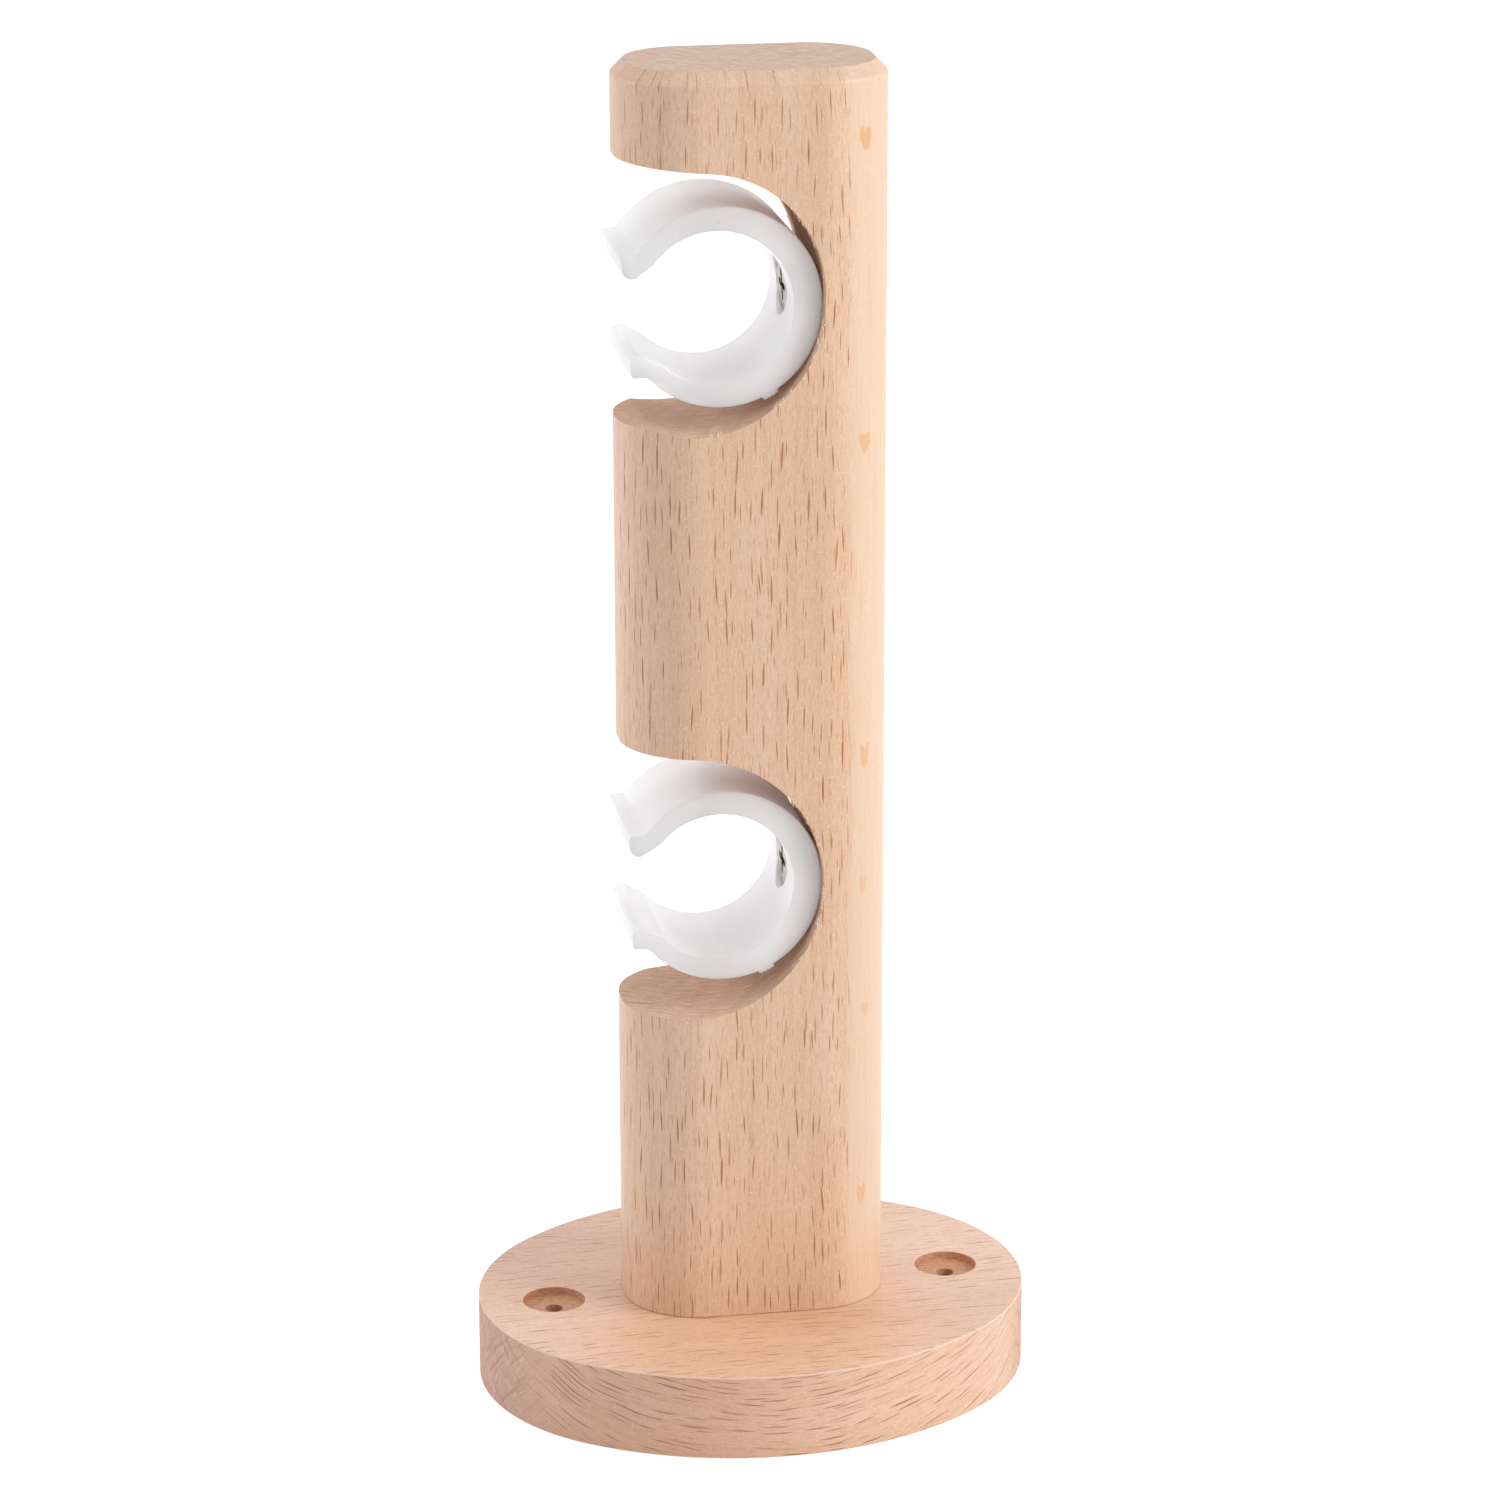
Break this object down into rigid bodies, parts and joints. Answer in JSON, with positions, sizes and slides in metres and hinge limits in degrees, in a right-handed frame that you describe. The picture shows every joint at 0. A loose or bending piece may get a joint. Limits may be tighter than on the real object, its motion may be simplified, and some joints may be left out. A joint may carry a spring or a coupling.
{
  "type": "curtain pole bracket",
  "caption": "Wooden curtain pole bracket: oval wall base, upright rounded post with side notches, and a snap-in plastic pole clip screwed into each notch.",
  "frame": {"origin": "centre of the base's back face, the face that lies against the wall", "axes": "+Z runs out from the wall along the post, Y is the direction of the poles, and the notches open towards -X"},
  "size_m": [0.0804, 0.0676, 0.194],
  "materials": {
    "base_wood": "fine-sanded bare beech",
    "post_wood": "fine-sanded bare beech",
    "clip_plastic": "milky translucent, smooth",
    "screw_metal": "nickel-plated, satin"
  },
  "bodies": {
    "root": {"base": "base_wood", "post": "post_wood", "post_screw": "screw_metal", "upper_clip": "clip_plastic", "lower_clip": "clip_plastic", "upper_clip_screw": "screw_metal", "lower_clip_screw": "screw_metal"}
  },
  "joints": []
}
